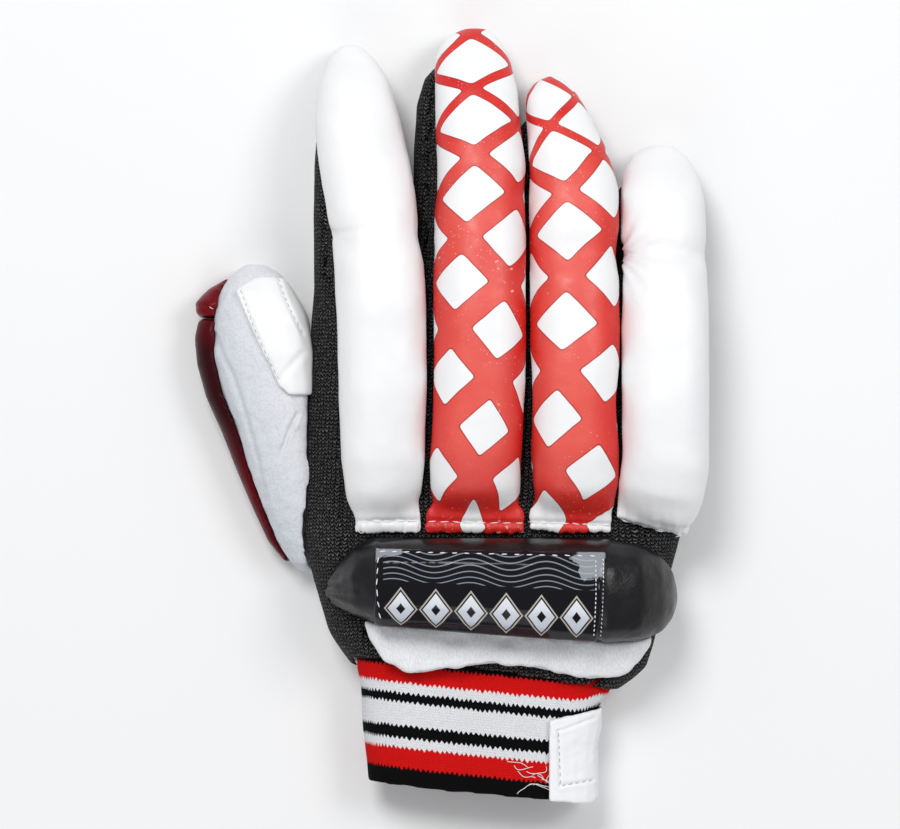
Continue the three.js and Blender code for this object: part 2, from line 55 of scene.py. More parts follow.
def make_camera():
    data = bpy.data.cameras.new("camera")
    data.sensor_width = SENSOR
    data.lens = SENSOR * CAMERA_HEIGHT / VIEW_WIDTH
    camera = bpy.data.objects.new("camera", data)
    camera.location = (0, 0, (CAMERA_HEIGHT + FOCUS_LEVEL) * MM)
    scene.collection.objects.link(camera)
    scene.camera = camera


def area_light(name, place, target, size, power):
    """A round lamp; its place, target and size are in metres."""
    data = bpy.data.lights.new(name, "AREA")
    data.shape = "DISK"
    data.size = size
    data.energy = power
    light = bpy.data.objects.new(name, data)
    light.location = place
    light.rotation_mode = "QUATERNION"
    light.rotation_quaternion = (Vector(target) - Vector(place)).to_track_quat("-Z", "Y")
    scene.collection.objects.link(light)


def make_studio():
    world = bpy.data.worlds.new("studio")
    world.use_nodes = True
    world.node_tree.nodes["Background"].inputs["Color"].default_value = (0.95, 0.97, 1.0, 1)
    world.node_tree.nodes["Background"].inputs["Strength"].default_value = 0.4
    scene.world = world
    scene.view_settings.view_transform = "Standard"
    area_light("key", (-0.4, 0.85, 1.5), (0, 0, 0), 0.7, 15.5)
    area_light("fill", (0.85, 0.45, 1.2), (0, 0, 0), 0.6, 6)
    area_light("foot", (-0.2, -1.1, 0.9), (0, 0, 0.02), 0.8, 3)


# Mesh helpers
def select_only(piece):
    bpy.ops.object.select_all(action="DESELECT")
    piece.select_set(True)
    bpy.context.view_layer.objects.active = piece


def modify(piece, kind, **settings):
    modifier = piece.modifiers.new(kind.title(), kind)
    for key, value in settings.items():
        setattr(modifier, key, value)
    select_only(piece)
    bpy.ops.object.modifier_apply(modifier=modifier.name)


def points_of(piece):
    flat = np.empty(len(piece.data.vertices) * 3)
    piece.data.vertices.foreach_get("co", flat)
    return flat.reshape(-1, 3) / MM


def set_points(piece, points):
    piece.data.vertices.foreach_set("co", (points * MM).ravel())
    piece.data.update()


def normals_of(piece):
    flat = np.empty(len(piece.data.vertices) * 3)
    piece.data.vertex_normals.foreach_get("vector", flat)
    return flat.reshape(-1, 3)


def skin_of(name, node, voxel, smoothing):
    """A copy of a node's skin, merged, remeshed evenly and smoothed."""
    piece = bpy.data.objects.new(name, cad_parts[node].data.copy())
    scene.collection.objects.link(piece)
    piece.data.materials.clear()
    select_only(piece)
    bpy.ops.object.mode_set(mode="EDIT")
    bpy.ops.mesh.select_all(action="SELECT")
    bpy.ops.mesh.remove_doubles(threshold=0.01 * MM)
    bpy.ops.object.mode_set(mode="OBJECT")
    modify(piece, "REMESH", mode="VOXEL", voxel_size=voxel * MM)
    if smoothing:
        modify(piece, "SMOOTH", factor=0.5, iterations=smoothing)
    return piece


SIM_FRAMES = 20


def puff(piece, pressure, cap, hold):
    """Blows a cover up, no point by more than cap; hold gives each point its share of the movement."""
    before = points_of(piece)
    cloth = piece.modifiers.new("Cloth", "CLOTH")
    cloth.settings.quality = 4
    cloth.settings.use_pressure = True
    cloth.settings.uniform_pressure_force = pressure
    cloth.settings.effector_weights.gravity = 0
    cloth.point_cache.frame_end = SIM_FRAMES
    for step in range(1, SIM_FRAMES + 1):
        scene.frame_set(step)
    evaluated = piece.evaluated_get(bpy.context.evaluated_depsgraph_get())
    flat = np.empty(len(before) * 3)
    evaluated.data.vertices.foreach_get("co", flat)
    move = flat.reshape(-1, 3) / MM - before
    piece.modifiers.remove(cloth)
    scene.frame_set(1)
    length = np.linalg.norm(move, axis=1, keepdims=True)
    move *= np.minimum(1, cap / np.maximum(length, 1e-6)) * hold(before)[:, None]
    set_points(piece, before + move)


def smooth_step(low, high, value):
    share = np.clip((value - low) / (high - low), 0, 1)
    return share * share * (3 - 2 * share)


def off_path(points, path):
    """How far each point is, on the plan, from a line through the path's corners, and its place along it."""
    nearest, along = np.full(len(points), 1e9), np.zeros(len(points))
    corners = np.array(path, float)
    for index, (start, end) in enumerate(zip(corners, corners[1:])):
        run = end - start
        share = np.clip((points[:, :2] - start) @ run / (run @ run), 0, 1)
        off = np.linalg.norm(points[:, :2] - (start + share[:, None] * run), axis=1)
        nearer = off < nearest
        nearest[nearer] = off[nearer]
        along[nearer] = (index + share[nearer]) / (len(corners) - 1)
    return nearest, along


# The low rim beside a groove: its share of the depth, and how much wider than the groove it is
RIM_SHARE = 0.35
RIM_REACH = 2.6


def groove(piece, path, depth, width, levels=(1, 1, 1)):
    """Presses a fold or seam into a piece along a path; levels are its shares of depth from start to end."""
    points, normals = points_of(piece), normals_of(piece)
    off, along = off_path(points, path)
    press = np.exp(-((off / width) ** 2)) - RIM_SHARE * np.exp(-((off / (RIM_REACH * width)) ** 2))
    press *= np.interp(along, np.linspace(0, 1, len(levels)), levels) * smooth_step(-0.2, 0.2, normals[:, 2])
    set_points(piece, points - normals * (depth * press)[:, None])


def crumple(piece, size, strength, where=None):
    """Moves a piece's points in and out by soft noise."""
    texture = bpy.data.textures.new(piece.name + "_noise", "CLOUDS")
    texture.noise_scale = size * MM
    texture.noise_depth = 2
    settings = {"texture": texture, "strength": strength * MM, "mid_level": 0.5}
    if where is not None:
        group = piece.vertex_groups.new(name="where")
        for index, weight in enumerate(where(points_of(piece))):
            group.add([index], float(weight), "REPLACE")
        settings["vertex_group"] = "where"
    modify(piece, "DISPLACE", texture_coords="LOCAL", **settings)


def swell(piece, amount):
    """Moves a piece's skin outwards, or inwards where amount is negative."""
    set_points(piece, points_of(piece) + normals_of(piece) * amount)


ABOVE_ALL = 200  # a height over every piece


class Surface:
    """The upper side of finished pieces, for what is sewn on them."""

    def __init__(self, *pieces):
        points, faces = [], []
        for piece in pieces:
            start = len(points)
            points.extend(points_of(piece).tolist())
            faces.extend([[start + corner for corner in face.vertices] for face in piece.data.polygons])
        self.tree = BVHTree.FromPolygons(points, faces)

    def drop(self, x, y):
        """Place and normal straight below a point of the plan, or None twice."""
        place, normal, _, _ = self.tree.ray_cast(Vector((x, y, ABOVE_ALL)), Vector((0, 0, -1)))
        if normal is not None and normal.z < 0:
            normal = -normal
        return place, normal


def join_copies(name, copies):
    bpy.ops.object.select_all(action="DESELECT")
    for copy in copies:
        copy.select_set(True)
    bpy.context.view_layer.objects.active = copies[0]
    bpy.ops.object.join()
    copies[0].name = name
    return copies[0]


# Widths of the white stitches and of the loose ends
THICK_THREAD = 0.42
STRAY_THREAD = 0.24


def stitch_row(name, surface, path, length, gap, width, finish, slot, stray=0.12, sink=0.2):
    """Sews a row of stitches along a path on the plan, each one a copy of the same short thread."""
    bpy.ops.object.select_all(action="DESELECT")
    bpy.ops.mesh.primitive_uv_sphere_add(segments=8, ring_count=6, radius=0.5)
    one = bpy.context.object
    corners = [Vector((*corner, 0)) for corner in path]
    copies = []
    for start, end in zip(corners, corners[1:]):
        run = end - start
        count = max(1, round(run.length / (length + gap)))
        for index in range(count):
            middle = start + run * ((index + 0.5) / count)
            place, normal = surface.drop(middle.x, middle.y)
            if place is None:
                continue
            turned = Matrix.Rotation(random.uniform(-stray, stray), 3, "Z") @ run.normalized()
            along = (turned - normal * turned.dot(normal)).normalized()
            side = normal.cross(along)
            size = (length * random.uniform(0.9, 1.1), width, width)
            axes = Matrix((along * size[0], side * size[1], normal * size[2])).transposed().to_4x4()
            copy = one.copy()
            copy.data = one.data.copy()
            seat = Matrix.Translation((place + normal * width * sink) * MM)
            copy.data.transform(seat @ Matrix.Scale(MM, 4) @ axes)
            scene.collection.objects.link(copy)
            copies.append(copy)
    bpy.data.objects.remove(one)
    keep(join_copies(name, copies), finish, slot)


def loose_thread(name, places, width):
    """A stray end of sewing thread through a few places."""
    bpy.ops.object.select_all(action="DESELECT")
    bpy.ops.curve.primitive_nurbs_path_add(radius=MM)
    curve = bpy.context.object
    spline = curve.data.splines[0]
    spline.points.add(len(places) - len(spline.points))
    for point, place in zip(spline.points, places):
        point.co = (*[value * MM for value in place], 1)
    curve.data.bevel_depth = width * MM / 2
    curve.data.bevel_resolution = 1
    curve.data.resolution_u = 6
    select_only(curve)
    bpy.ops.object.convert(target="MESH")
    piece = bpy.context.object
    piece.name = name
    return piece


def give_map(piece, name, function):
    """Writes a map on a piece, from a function of its points to two columns."""
    columns = function(points_of(piece))
    layer = piece.data.uv_layers.new(name=name)
    corners = np.empty(len(piece.data.loops), int)
    piece.data.loops.foreach_get("vertex_index", corners)
    layer.data.foreach_set("uv", columns[corners].ravel().astype(np.float32))


# Material helper
class Finish:
    """A node material round one principled shader."""

    def __init__(self, name, color, roughness, **sockets):
        self.material = bpy.data.materials.new(name)
        self.material.use_nodes = True
        self.tree = self.material.node_tree
        self.shader = self.tree.nodes["Principled BSDF"]
        self.shader.inputs["Base Color"].default_value = (*color, 1)
        self.shader.inputs["Roughness"].default_value = roughness
        for key, value in sockets.items():
            self.shader.inputs[key.replace("_", " ")].default_value = value
        self.object_place = self.add("ShaderNodeTexCoord").outputs["Object"]

    def add(self, kind, inputs=None, **settings):
        node = self.tree.nodes.new(kind)
        for key, value in settings.items():
            setattr(node, key, value)
        for key, value in (inputs or {}).items():
            if isinstance(value, bpy.types.NodeSocket):
                self.tree.links.new(value, node.inputs[key])
            else:
                node.inputs[key].default_value = value
        return node

    def math(self, operation, a, b=0.0, clamp=False):
        return self.add("ShaderNodeMath", {0: a, 1: b}, operation=operation, use_clamp=clamp).outputs[0]

    def ramp(self, value, low, high, out_low=0.0, out_high=1.0, kind="LINEAR"):
        inputs = {"Value": value, "From Min": low, "From Max": high, "To Min": out_low, "To Max": out_high}
        return self.add("ShaderNodeMapRange", inputs, interpolation_type=kind).outputs["Result"]

    def mix(self, share, a, b):
        node = self.add("ShaderNodeMix", data_type="RGBA")
        for index, value in ((0, share), (6, a), (7, b)):
            if isinstance(value, bpy.types.NodeSocket):
                self.tree.links.new(value, node.inputs[index])
            elif isinstance(value, tuple):
                node.inputs[index].default_value = (*value, 1)
            else:
                node.inputs[index].default_value = value
        return node.outputs[2]

    def noise(self, scale, detail=3.0, place=None):
        inputs = {"Vector": place or self.object_place, "Scale": scale, "Detail": detail}
        return self.add("ShaderNodeTexNoise", inputs).outputs["Fac"]

    def cells(self, scale, output="Distance", place=None, feature="F1"):
        inputs = {"Vector": place or self.object_place, "Scale": scale}
        return self.add("ShaderNodeTexVoronoi", inputs, feature=feature).outputs[output]

    def split(self, vector):
        return self.add("ShaderNodeSeparateXYZ", {0: vector}).outputs

    def map_of(self, name):
        return self.split(self.add("ShaderNodeUVMap", uv_map=name).outputs[0])

    def color(self, socket):
        self.tree.links.new(socket, self.shader.inputs["Base Color"])

    def rough(self, socket):
        self.tree.links.new(socket, self.shader.inputs["Roughness"])

    def bump(self, *layers):
        """Layers of (height, strength, distance in millimetres), coarse ones first."""
        normal = None
        for height, strength, distance in layers:
            inputs = {"Height": height, "Strength": strength, "Distance": distance * MM}
            if normal is not None:
                inputs["Normal"] = normal
            normal = self.add("ShaderNodeBump", inputs).outputs[0]
        self.tree.links.new(normal, self.shader.inputs["Normal"])


def grain_layers(finish, amount=1.0):
    """Fine pebbled grain of coated leather over faint ripples."""
    pebbles = finish.cells(1500, feature="SMOOTH_F1")
    ripples = finish.noise(90, 4)
    return (ripples, 0.25 * amount, 0.9), (pebbles, 0.3 * amount, 0.12)


def white_leather():
    finish = Finish("white coated leather", (0.86, 0.86, 0.86), 0.42, Specular_IOR_Level=0.45)
    soil = finish.ramp(finish.noise(38, 5), 0.45, 0.8)
    finish.color(finish.mix(soil, (0.88, 0.88, 0.885), (0.81, 0.815, 0.83)))
    finish.rough(finish.ramp(finish.noise(260, 2), 0.3, 0.7, 0.38, 0.52))
    finish.bump(*grain_layers(finish, 0.8))
    return finish.material


# Lattice print: cells are diamonds of bare white leather between red bands
TIP_BAND = 0.086
MIDDLE_BAND = 0.173
BACK_BAND = 0.04
CORNER_POWER = 14  # the higher it is, the sharper the corners of the diamonds are
CREST_TURN = -0.1  # angle round the roll at which the painted sheen on the print is strongest


def printed_leather():
    finish = Finish("printed leather", (0.7, 0.05, 0.04), 0.4, Specular_IOR_Level=0.45)
    across, down, _ = finish.map_of("lattice")
    wobble = finish.ramp(finish.noise(55, 2), 0, 1, -0.03, 0.03)
    steady = finish.math("ADD", down, wobble)
    reaches = []
    for way in (0.5, -0.5):
        line = finish.math("ADD", steady, finish.math("MULTIPLY", across, way))
        off = finish.math("SUBTRACT", line, finish.math("ROUND", line))
        reaches.append(finish.math("POWER", finish.math("ABSOLUTE", off), CORNER_POWER))
    reach = finish.math("POWER", finish.math("ADD", *reaches), 1 / CORNER_POWER)
    half_band = finish.ramp(down, 0.5, 2.5, TIP_BAND, MIDDLE_BAND)
    half_band = finish.math("ADD", half_band, finish.ramp(down, 2.5, 4.2, 0, BACK_BAND))
    inside = finish.math("SUBTRACT", finish.math("SUBTRACT", 0.5, half_band), reach)
    bare = finish.ramp(inside, -0.004, 0.004)
    rim = finish.math("MULTIPLY", finish.ramp(inside, -0.022, -0.01), finish.ramp(inside, 0.002, -0.004))
    dots = finish.math("LESS_THAN", finish.cells(900), 0.15)
    some = finish.math("GREATER_THAN", finish.split(finish.cells(900, "Color"))[0], 0.6)
    worn = finish.ramp(finish.noise(38, 4), 0.42, 0.6)
    specks = finish.math("MULTIPLY", finish.math("MULTIPLY", dots, some), worn)
    rubbed = finish.ramp(finish.noise(26, 3), 0.5, 0.62)
    scuffs = finish.math("MULTIPLY", finish.ramp(finish.noise(420, 6), 0.66, 0.7), rubbed)
    # Painted sheen: the red is lighter and pinker along the crest of each roll, falling off towards the
    # flanks, the hem and the tip.
    turn, along, _ = finish.map_of("round")
    off_crest = finish.math("ABSOLUTE", finish.math("SUBTRACT", turn, CREST_TURN))
    crest = finish.ramp(off_crest, 1.15, 0.25, kind="SMOOTHSTEP")
    past_hem = finish.ramp(along, -0.36, -0.1, kind="SMOOTHSTEP")
    before_tip = finish.ramp(along, 1.1, 0.8, kind="SMOOTHSTEP")
    falloff = finish.math("MULTIPLY", crest, finish.math("MULTIPLY", past_hem, before_tip))
    falloff = finish.math("MULTIPLY", falloff, finish.ramp(finish.noise(45, 4), 0.3, 0.7, 0.45, 0.85))
    red = finish.mix(finish.ramp(finish.noise(70, 5), 0.3, 0.75), (0.62, 0.012, 0.01), (0.74, 0.03, 0.02))
    red = finish.mix(falloff, red, (0.82, 0.13, 0.1))
    red = finish.mix(finish.math("MULTIPLY", rim, 0.8), red, (0.25, 0.008, 0.008))
    red = finish.mix(finish.math("MULTIPLY", specks, 0.8), red, (0.92, 0.6, 0.55))
    red = finish.mix(finish.math("MULTIPLY", scuffs, 0.6), red, (0.92, 0.7, 0.66))
    finish.color(finish.mix(bare, red, (0.88, 0.88, 0.885)))
    finish.rough(finish.ramp(finish.noise(300, 2), 0.3, 0.7, 0.36, 0.5))
    finish.bump(*grain_layers(finish))
    return finish.material


def black_leather():
    finish = Finish("black grained leather", (0.006, 0.006, 0.007), 0.4, Specular_IOR_Level=0.36)
    dust = finish.ramp(finish.noise(60, 6), 0.5, 0.8)
    finish.color(finish.mix(dust, (0.004, 0.004, 0.005), (0.013, 0.013, 0.015)))
    finish.rough(finish.ramp(finish.noise(180, 3), 0.3, 0.7, 0.28, 0.42))
    wrinkles = finish.cells(420, feature="SMOOTH_F1")
    pebbles = finish.cells(1700, feature="SMOOTH_F1")
    finish.bump((finish.noise(120, 5), 0.35, 0.6), (wrinkles, 0.3, 0.25), (pebbles, 0.45, 0.14))
    return finish.material


def red_leather(name, deep, bright):
    finish = Finish(name, deep, 0.34, Specular_IOR_Level=0.12)
    _, y, _ = finish.split(finish.object_place)
    low = finish.ramp(y, 0.008, -0.03, kind="SMOOTHSTEP")
    high = finish.ramp(y, 0.018, 0.034, 0.0, 0.7, kind="SMOOTHSTEP")
    cloudy = finish.ramp(finish.noise(60, 4), 0.3, 0.75, -0.25, 0.2)
    tone = finish.math("ADD", finish.math("MAXIMUM", low, high), cloudy, clamp=True)
    finish.color(finish.mix(tone, deep, bright))
    finish.rough(finish.ramp(finish.noise(200, 3), 0.3, 0.7, 0.28, 0.42))
    finish.bump(*grain_layers(finish))
    return finish.material


def palm_leather():
    finish = Finish("soft palm leather", (0.82, 0.81, 0.78), 0.62)
    tone = finish.ramp(finish.noise(30, 6), 0.35, 0.75)
    finish.color(finish.mix(tone, (0.84, 0.83, 0.8), (0.74, 0.735, 0.72)))
    finish.bump((finish.noise(160, 5), 0.4, 0.5), (finish.cells(1100, feature="SMOOTH_F1"), 0.45, 0.2))
    return finish.material


def terry_pile():
    """Short looped pile of the thumb: fine bumps in loose rows."""
    finish = Finish("white terry pile", (0.85, 0.86, 0.88), 0.95, Sheen_Weight=0.3, Sheen_Roughness=0.6)
    loops = finish.cells(1500, feature="SMOOTH_F1")
    strands = finish.noise(3000, 4)
    x, y, _ = finish.split(finish.object_place)
    # Painted shade: the pile is darker and bluer towards the thumb's outer edge.
    outer = finish.math("SUBTRACT", x, finish.math("MULTIPLY", y, -0.35))
    outer_shade = finish.ramp(outer, -0.055, -0.078, kind="SMOOTHSTEP")
    base = finish.mix(outer_shade, (0.74, 0.745, 0.78), (0.63, 0.66, 0.7))
    # Painted shade: the colour is darker in the hollows between the loops.
    hollow_shade = finish.math("MULTIPLY", finish.ramp(loops, 0.35, 0.8), 0.4)
    finish.color(finish.mix(hollow_shade, base, (0.46, 0.48, 0.52)))
    finish.bump((finish.noise(240, 4), 0.8, 1.1), (loops, -1.0, 0.8), (strands, 0.7, 0.25))
    return finish.material


def brushed_fleece():
    """Brushed pile of the wrist skirt: short fibres that lean down the glove."""
    finish = Finish("white fleece", (0.85, 0.86, 0.88), 0.95, Sheen_Weight=0.35, Sheen_Roughness=0.5)
    inputs = {"Vector": finish.object_place, "Rotation": (0, 0, 0.35), "Scale": (1, 0.3, 1)}
    lean = finish.add("ShaderNodeMapping", inputs)
    fibres = finish.noise(2300, 5, lean.outputs[0])
    tufts = finish.noise(700, 4)
    finish.color(finish.mix(finish.ramp(fibres, 0.35, 0.65), (0.76, 0.765, 0.79), (0.9, 0.905, 0.92)))
    finish.bump((tufts, 0.35, 0.5), (fibres, 0.7, 0.25))
    return finish.material


def knit_height(finish, across, along, width, pitch):
    """Columns of knitted V stitches: across and along are in millimetres."""
    column = finish.math("FRACT", finish.math("DIVIDE", across, width))
    tent = finish.math("ABSOLUTE", finish.math("SUBTRACT", column, 0.5))
    turn = finish.math("ADD", finish.math("DIVIDE", along, pitch), finish.math("MULTIPLY", tent, 1.5))
    wave = finish.math("SINE", finish.math("MULTIPLY", turn, 2 * math.pi))
    edge = finish.ramp(tent, 0.0, 0.14)
    return finish.math("MULTIPLY", finish.ramp(wave, -1, 1), edge)


def black_mesh(name, side):
    """Open double-knit mesh; side tells which way its flank faces."""
    finish = Finish(name, (0.006, 0.006, 0.006), 0.6, Specular_IOR_Level=0.12)
    x, y, z = finish.split(finish.object_place)
    around = finish.math("ADD", finish.math("MULTIPLY", x, side / MM), finish.math("DIVIDE", z, MM))
    around = finish.math("ADD", around, finish.math("MULTIPLY", finish.noise(150, 3), 2.6))
    pulled = finish.math("MULTIPLY", finish.noise(260, 2), 2.4)
    along = finish.math("ADD", finish.math("DIVIDE", y, MM), pulled)
    height = knit_height(finish, around, along, 1.8, 1.35)
    strands = finish.noise(1500, 3)
    # Painted highlights: the raised stitches of the knit and scattered glints on them are lighter in the
    # colour.
    lit = finish.ramp(strands, 0.4, 0.6, 0.3, 1.0)
    shine = finish.math("MULTIPLY", finish.math("POWER", height, 1.6), lit)
    glints = finish.math("MULTIPLY", shine, finish.ramp(finish.noise(900, 2), 0.56, 0.64))
    cloth = finish.mix(shine, (0.002, 0.002, 0.002), (0.2, 0.2, 0.205))
    finish.color(finish.mix(glints, cloth, (0.32, 0.32, 0.33)))
    finish.bump((finish.noise(90, 3), 0.5, 1.2), (height, 1.0, 1.1), (strands, 0.6, 0.25))
    return finish.material


# Knitted wristband: where each stripe starts, from the top edge down, in millimetres
STRIPES = (
    (0.0, "black"), (1.0, "red"), (7.1, "white"), (10.7, "black"), (13.9, "white"),
    (22.5, "black"), (26.7, "white"), (30.3, "red"), (37.5, "black"),
)
KNIT_COLORS = {"red": (0.78, 0.008, 0.008), "white": (0.93, 0.935, 0.96), "black": (0.0035, 0.0035, 0.004)}
STRIPE_SPAN = 50.0
RIB_WIDTH = 1.45


def striped_knit():
    finish = Finish("striped elastic knit", (0.7, 0.02, 0.02), 0.9, Specular_IOR_Level=0.08)
    around, down, _ = finish.map_of("knit")
    uneven = finish.math("ADD", around, finish.math("MULTIPLY", finish.noise(300, 2), 0.9))
    column = finish.math("FRACT", finish.math("DIVIDE", uneven, RIB_WIDTH))
    tooth = finish.math("ABSOLUTE", finish.math("SUBTRACT", column, 0.5))
    ragged = finish.ramp(finish.noise(420, 3), 0.2, 0.8, -0.45, 0.45)
    edge = finish.math("ADD", finish.math("ADD", down, finish.math("MULTIPLY", tooth, 2.4)), ragged)
    stripes = finish.add("ShaderNodeValToRGB", {0: finish.math("DIVIDE", edge, STRIPE_SPAN)})
    stripes.color_ramp.interpolation = "CONSTANT"
    stops = stripes.color_ramp.elements
    for index, (start, shade) in enumerate(STRIPES):
        stop = stops[index] if index < 2 else stops.new(start / STRIPE_SPAN)
        stop.position = (start + (0.5 if index else 0)) / STRIPE_SPAN
        stop.color = (*KNIT_COLORS[shade], 1)
    height = knit_height(finish, around, down, 0.72, 0.95)
    fuzz = finish.ramp(finish.noise(1700, 4), 0.3, 0.7, 0.82, 1.0)
    shade = finish.math("MULTIPLY", finish.ramp(height, 0, 1, 0.88, 1.0), fuzz)
    dark = finish.add("ShaderNodeMix", data_type="RGBA", blend_type="MULTIPLY")
    finish.tree.links.new(stripes.outputs[0], dark.inputs[6])
    finish.tree.links.new(shade, dark.inputs[7])
    dark.inputs[0].default_value = 1
    finish.color(dark.outputs[2])
    ribs = finish.math("SINE", finish.math("MULTIPLY", around, 2 * math.pi / RIB_WIDTH))
    finish.bump((ribs, 0.12, 0.2), (height, 0.6, 0.3), (fuzz, 0.6, 0.3))
    return finish.material


# Generic print of the glossy plate: fine silver waves over a row of lozenges
WAVE_ROWS = (1.6, 12.0)
WAVE_PITCH = 1.95
WAVE_LENGTH = 27
WAVE_HEIGHT = 1.5
LOZENGE_LEVEL = 22.6
LOZENGE_HEIGHT = 17.6
LOZENGE_PITCH = 12.4
PRINT_MIDDLE = 40.0
PRINT_HALF = 37.2
FOLD_LEVEL = 32.0
FOLD_WIDTH = 2.4
FOLD_EDGE = 0.3


def gloss_film():
    coat = {"Coat_Weight": 0.14, "Coat_Roughness": 0.05}
    finish = Finish("glossy film", (0.004, 0.004, 0.006), 0.12, Specular_IOR_Level=0.12, **coat)
    across, down, _ = finish.map_of("film")
    sway = finish.math("SINE", finish.math("MULTIPLY", across, 2 * math.pi / WAVE_LENGTH))
    waved = finish.math("ADD", down, finish.math("MULTIPLY", sway, WAVE_HEIGHT))
    row = finish.math("FRACT", finish.math("DIVIDE", waved, WAVE_PITCH))
    line = finish.ramp(finish.math("ABSOLUTE", finish.math("SUBTRACT", row, 0.5)), 0.12, 0.07)
    above_end = finish.math("LESS_THAN", down, WAVE_ROWS[1])
    upper = finish.math("MULTIPLY", above_end, finish.math("GREATER_THAN", down, WAVE_ROWS[0]))
    off_middle = finish.math("ABSOLUTE", finish.math("SUBTRACT", across, PRINT_MIDDLE))
    printed = finish.math("LESS_THAN", off_middle, PRINT_HALF)
    line = finish.math("MULTIPLY", finish.math("MULTIPLY", line, upper), printed)
    from_middle = finish.math("SUBTRACT", across, PRINT_MIDDLE)
    step = finish.math("FRACT", finish.math("DIVIDE", from_middle, LOZENGE_PITCH))
    step = finish.math("SUBTRACT", step, 0.5)
    level = finish.math("DIVIDE", finish.math("SUBTRACT", down, LOZENGE_LEVEL), LOZENGE_HEIGHT)
    lozenge = finish.math("ADD", finish.math("ABSOLUTE", step), finish.math("ABSOLUTE", level))
    within = finish.math("LESS_THAN", off_middle, 3 * LOZENGE_PITCH)
    rim = finish.math("MULTIPLY", finish.ramp(lozenge, 0.49, 0.475), finish.ramp(lozenge, 0.425, 0.44))
    fill = finish.math("MULTIPLY", finish.ramp(lozenge, 0.385, 0.37), finish.ramp(lozenge, 0.125, 0.14))
    rim = finish.math("MULTIPLY", rim, within)
    fill = finish.math("MULTIPLY", fill, within)
    silver = finish.mix(finish.ramp(level, -0.4, 0.4), (0.8, 0.82, 0.85), (0.5, 0.54, 0.62))
    ink = finish.mix(line, (0.006, 0.006, 0.009), (0.24, 0.26, 0.3))
    ink = finish.mix(rim, ink, (0.5, 0.46, 0.4))
    ink = finish.mix(fill, ink, silver)
    fold_top = finish.ramp(down, FOLD_LEVEL, FOLD_LEVEL + FOLD_EDGE)
    fold_end = FOLD_LEVEL + FOLD_WIDTH
    fold = finish.math("MULTIPLY", fold_top, finish.ramp(down, fold_end, fold_end - FOLD_EDGE))
    # Painted reflection: lighter grey patches towards both ends and the top edge of the plate.
    to_the_ends = finish.ramp(off_middle, 14, 38, -0.25, 0.13)
    painted_reflection = finish.math("ADD", to_the_ends, finish.ramp(down, 2, 15, 0.1, -0.3))
    painted_reflection = finish.ramp(finish.math("ADD", painted_reflection, finish.noise(70, 5)), 0.62, 0.64, 0.0, 0.55)
    ink = finish.mix(painted_reflection, ink, (0.5, 0.53, 0.58))
    finish.color(finish.mix(fold, ink, (0.045, 0.024, 0.03)))
    finish.bump((finish.noise(48, 3), 0.35, 1.2), (finish.noise(240, 2), 0.15, 0.2))
    return finish.material


def strap_cloth():
    finish = Finish("white strap", (0.87, 0.875, 0.89), 0.5)
    finish.rough(finish.ramp(finish.noise(200, 3), 0.3, 0.7, 0.42, 0.58))
    finish.bump(*grain_layers(finish, 0.7))
    return finish.material


def thread(name, color):
    finish = Finish(name, color, 0.75)
    twist = finish.noise(2500, 2)
    finish.bump((twist, 0.5, 0.1))
    return finish.material


def floor_finish():
    finish = Finish("pale floor", (0.88, 0.88, 0.88), 0.7)
    finish.rough(finish.ramp(finish.noise(3, 2), 0.3, 0.7, 0.65, 0.75))
    return finish.material


def keep(piece, material, slot, *nodes, fill=None):
    """Finishes a piece: its material and the nodes that it stands for; its slot is not used."""
    piece.data.materials.clear()
    piece.data.materials.append(material)
    piece.data.polygons.foreach_set("use_smooth", [True] * len(piece.data.polygons))
    piece.data.update()
    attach(piece, "root")
    if nodes:
        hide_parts(*nodes)


# Finger rolls: the middle of each is a line of [y, x] places, from its hem to its tip
ROLL_VOXEL = 1.7
ROLL_PRESSURE = 4
ROLL_CAP = 1.6
HEM_Y = -42.7
HEM_FREE = 16
ROLLS = {
    "roll_index": {
        "middle": [
            (-42, -24), (0, -24.2), (33, -24.7), (55, -26.2), (76, -29), (91, -31), (105, -33), (134, -36),
        ],
        "radius": 16,
    },
    "roll_middle": {
        "middle": [(-42, 9.5), (12, 11), (58, 10.8), (91, 11.5), (104, 9.8), (116, 9), (137, 8)],
        "radius": 17,
    },
    "roll_ring": {
        "middle": [
            (-42, 43), (0, 43.5), (50, 44.2), (77, 44.3), (87, 43.6), (96, 41.8), (107, 38.8), (121, 36),
        ],
        "radius": 16,
    },
    "roll_little": {"middle": [(-42, 74), (0, 77), (97, 76)], "radius": 15.5},
}
# Lattice rows of a roll: Y of a diamond, its column's place round the roll, half step, tilt and arch
LATTICES = {
    "roll_middle": [
        (127.1, -0.7, 19.0, -0.07, 4.7), (105.9, -1.4, 18.6, -0.09, 4.7), (78.8, -3.6, 18.2, -0.03, 2.3),
        (47.6, -7.8, 17.0, 0.02, 1.6), (14.2, -11.6, 16.3, 0.04, 1.3), (-20.6, -15.3, 14.5, 0.05, 1.2),
        (-55, -18, 14, 0.05, 1.2),
    ],
    "roll_ring": [
        (113.3, -4.2, 14.0, -0.1, 3.2), (93.6, -3.6, 16.7, -0.11, 3.2), (65.8, -2.3, 18.4, -0.04, 2.2),
        (33.0, -3.1, 18.4, 0.01, 1.5), (-1.3, -6.9, 17.6, 0.03, 1.2), (-36.1, -12.2, 16.5, 0.06, 1.2),
        (-70, -16, 16, 0.06, 1.2),
    ],
}
ROLL_LENGTHS = {"roll_index": 176.8, "roll_middle": 182.7, "roll_ring": 165.4, "roll_little": 140.1}
